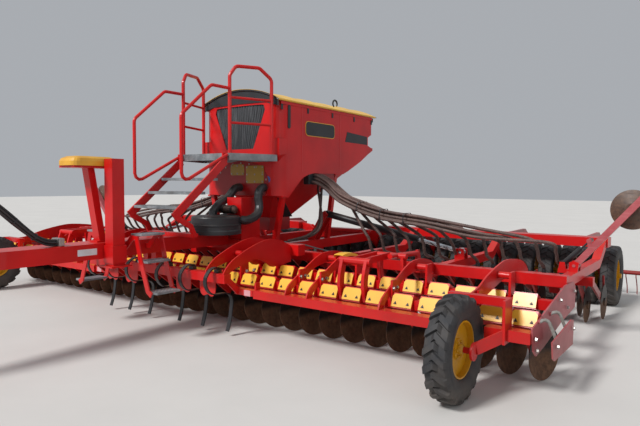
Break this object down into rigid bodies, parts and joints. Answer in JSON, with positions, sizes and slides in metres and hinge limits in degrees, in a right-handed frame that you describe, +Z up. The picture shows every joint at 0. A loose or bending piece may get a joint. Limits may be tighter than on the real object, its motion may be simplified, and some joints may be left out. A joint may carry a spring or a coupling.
{
  "type": "seed drill",
  "caption": "Trailed pneumatic disc seed drill with a hopper, two wings that fold up, front discs, seed coulters, packer wheels and a following harrow.",
  "frame": {"origin": "middle of the parked machine's outline, on the ground", "axes": "+X to the machine's left, -Y forward to the hitch, +Z up"},
  "size_m": [9.0384, 8.37, 2.9315],
  "materials": {
    "red_paint": "gloss paint, faded in places",
    "dark_red_paint": "gloss paint",
    "pink_paint": "faded matt paint",
    "yellow_paint": "gloss paint",
    "rim_paint": "gloss paint",
    "worn_steel": "soil-worn, rusted",
    "bright_steel": "bare steel",
    "chrome": "polished",
    "galvanised": "galvanised",
    "tyre_rubber": "dusty",
    "black_plastic": "moulded",
    "black_paint": "satin paint",
    "yellow_plastic": "moulded, dusty",
    "hose_rubber": "ribbed hose",
    "hydraulic_rubber": "braided hose",
    "tarp_fabric": "coated fabric"
  },
  "bodies": {
    "centre": {"drawbar": "red_paint", "hitch_eye": "bright_steel", "centre_frame": "red_paint", "centre_tool_tubes": "red_paint", "centre_covers": "yellow_paint", "centre_discs": "worn_steel", "front_board": "red_paint", "spring_tines": "black_paint", "centre_coulter_arms": "dark_red_paint", "centre_coulter_discs": "worn_steel", "centre_harrow": "dark_red_paint", "hopper": "red_paint", "hopper_net": "black_plastic", "hopper_cover": "tarp_fabric", "metering_unit": "dark_red_paint", "fan": "black_plastic", "fan_tower": "red_paint", "platform": "galvanised", "stair_rails": "red_paint", "control_post": "red_paint", "control_cover": "yellow_plastic", "hydraulic_hoses": "hydraulic_rubber", "left_seed_hoses": "hose_rubber", "right_seed_hoses": "hose_rubber"},
    "parking_stand": {"parking_stand": "red_paint"},
    "centre_packer": {"centre_packer_tyres": "tyre_rubber", "centre_packer_rims": "rim_paint"},
    "left_wing": {"left_wing_frame": "red_paint", "left_tool_tubes": "red_paint", "left_covers": "yellow_paint", "left_discs": "worn_steel", "left_coulter_arms": "dark_red_paint", "left_coulter_discs": "worn_steel", "left_end_plates": "pink_paint", "left_harrow": "dark_red_paint"},
    "left_front_wheel": {"left_front_tyre": "tyre_rubber", "left_front_rim": "rim_paint"},
    "left_packer": {"left_packer_tyres": "tyre_rubber", "left_packer_rims": "rim_paint"},
    "left_marker": {"left_marker": "pink_paint"},
    "left_marker_cylinder": {"left_marker_cylinder": "black_paint"},
    "left_fold_barrel": {"left_fold_barrel": "black_paint"},
    "left_fold_rod": {"left_fold_rod": "chrome"},
    "right_wing": {"right_wing_frame": "red_paint", "right_tool_tubes": "red_paint", "right_covers": "yellow_paint", "right_discs": "worn_steel", "right_coulter_arms": "dark_red_paint", "right_coulter_discs": "worn_steel", "right_end_plates": "pink_paint", "right_harrow": "dark_red_paint"},
    "right_front_wheel": {"right_front_tyre": "tyre_rubber", "right_front_rim": "rim_paint"},
    "right_packer": {"right_packer_tyres": "tyre_rubber", "right_packer_rims": "rim_paint"},
    "right_marker": {"right_marker": "pink_paint"},
    "right_marker_cylinder": {"right_marker_cylinder": "black_paint"},
    "right_fold_barrel": {"right_fold_barrel": "black_paint"},
    "right_fold_rod": {"right_fold_rod": "chrome"}
  },
  "joints": [
    {"name": "stand_slide", "type": "slide", "parent": "centre", "child": "parking_stand", "axis": [0, 0, -1], "range_m": [0, 0.725]},
    {"name": "centre_packer_turn", "type": "hinge", "parent": "centre", "child": "centre_packer", "pos_m": [0, 3.195, 0.385], "axis": [1, 0, 0], "continuous": true},
    {"name": "left_fold", "type": "hinge", "parent": "centre", "child": "left_wing", "pos_m": [0.7, 0.215, 0.82], "axis": [0, -1, 0], "range_deg": [0, 90], "deforming": ["left_seed_hoses"]},
    {"name": "left_front_wheel_turn", "type": "hinge", "parent": "left_wing", "child": "left_front_wheel", "pos_m": [3.52, -1.155, 0.385], "axis": [1, 0, 0], "continuous": true},
    {"name": "left_packer_turn", "type": "hinge", "parent": "left_wing", "child": "left_packer", "pos_m": [2.6, 3.195, 0.385], "axis": [1, 0, 0], "continuous": true},
    {"name": "left_marker_fold", "type": "hinge", "parent": "left_wing", "child": "left_marker", "pos_m": [3.86, 1.045, 0.76], "axis": [0, -1, 0], "range_deg": [-75, 0]},
    {"name": "left_marker_cylinder_swing", "type": "hinge", "parent": "left_wing", "child": "left_marker_cylinder", "pos_m": [3.72, 1.165, 0.745], "axis": [0, -1, 0], "range_deg": [-51, 0]},
    {"name": "left_fold_barrel_swing", "type": "hinge", "parent": "centre", "child": "left_fold_barrel", "pos_m": [0.71, 1.245, 1.15], "axis": [0, -1, 0], "range_deg": [0, 100]},
    {"name": "left_fold_rod_slide", "type": "slide", "parent": "left_fold_barrel", "child": "left_fold_rod", "axis": [0.9814, 0, -0.1921], "range_m": [-0.356, 0]},
    {"name": "right_fold", "type": "hinge", "parent": "centre", "child": "right_wing", "pos_m": [-0.7, 0.215, 0.82], "axis": [0, 1, 0], "range_deg": [0, 90], "deforming": ["right_seed_hoses"]},
    {"name": "right_front_wheel_turn", "type": "hinge", "parent": "right_wing", "child": "right_front_wheel", "pos_m": [-3.52, -1.155, 0.385], "axis": [1, 0, 0], "continuous": true},
    {"name": "right_packer_turn", "type": "hinge", "parent": "right_wing", "child": "right_packer", "pos_m": [-2.6, 3.195, 0.385], "axis": [1, 0, 0], "continuous": true},
    {"name": "right_marker_fold", "type": "hinge", "parent": "right_wing", "child": "right_marker", "pos_m": [-3.86, 1.045, 0.76], "axis": [0, 1, 0], "range_deg": [-75, 0]},
    {"name": "right_marker_cylinder_swing", "type": "hinge", "parent": "right_wing", "child": "right_marker_cylinder", "pos_m": [-3.72, 1.165, 0.745], "axis": [0, 1, 0], "range_deg": [-51, 0]},
    {"name": "right_fold_barrel_swing", "type": "hinge", "parent": "centre", "child": "right_fold_barrel", "pos_m": [-0.71, 1.245, 1.15], "axis": [0, 1, 0], "range_deg": [0, 100]},
    {"name": "right_fold_rod_slide", "type": "slide", "parent": "right_fold_barrel", "child": "right_fold_rod", "axis": [-0.9814, 0, -0.1921], "range_m": [-0.356, 0]}
  ],
  "couplings": [
    {"joint": "left_marker_cylinder_swing", "follows": "left_marker_fold", "ratio": 0.668},
    {"joint": "left_fold_barrel_swing", "follows": "left_fold", "ratio": 1.1108},
    {"joint": "left_fold_rod_slide", "follows": "left_fold", "m_per_rad": -0.2263},
    {"joint": "right_marker_cylinder_swing", "follows": "right_marker_fold", "ratio": 0.668},
    {"joint": "right_fold_barrel_swing", "follows": "right_fold", "ratio": 1.1108},
    {"joint": "right_fold_rod_slide", "follows": "right_fold", "m_per_rad": -0.2263}
  ]
}
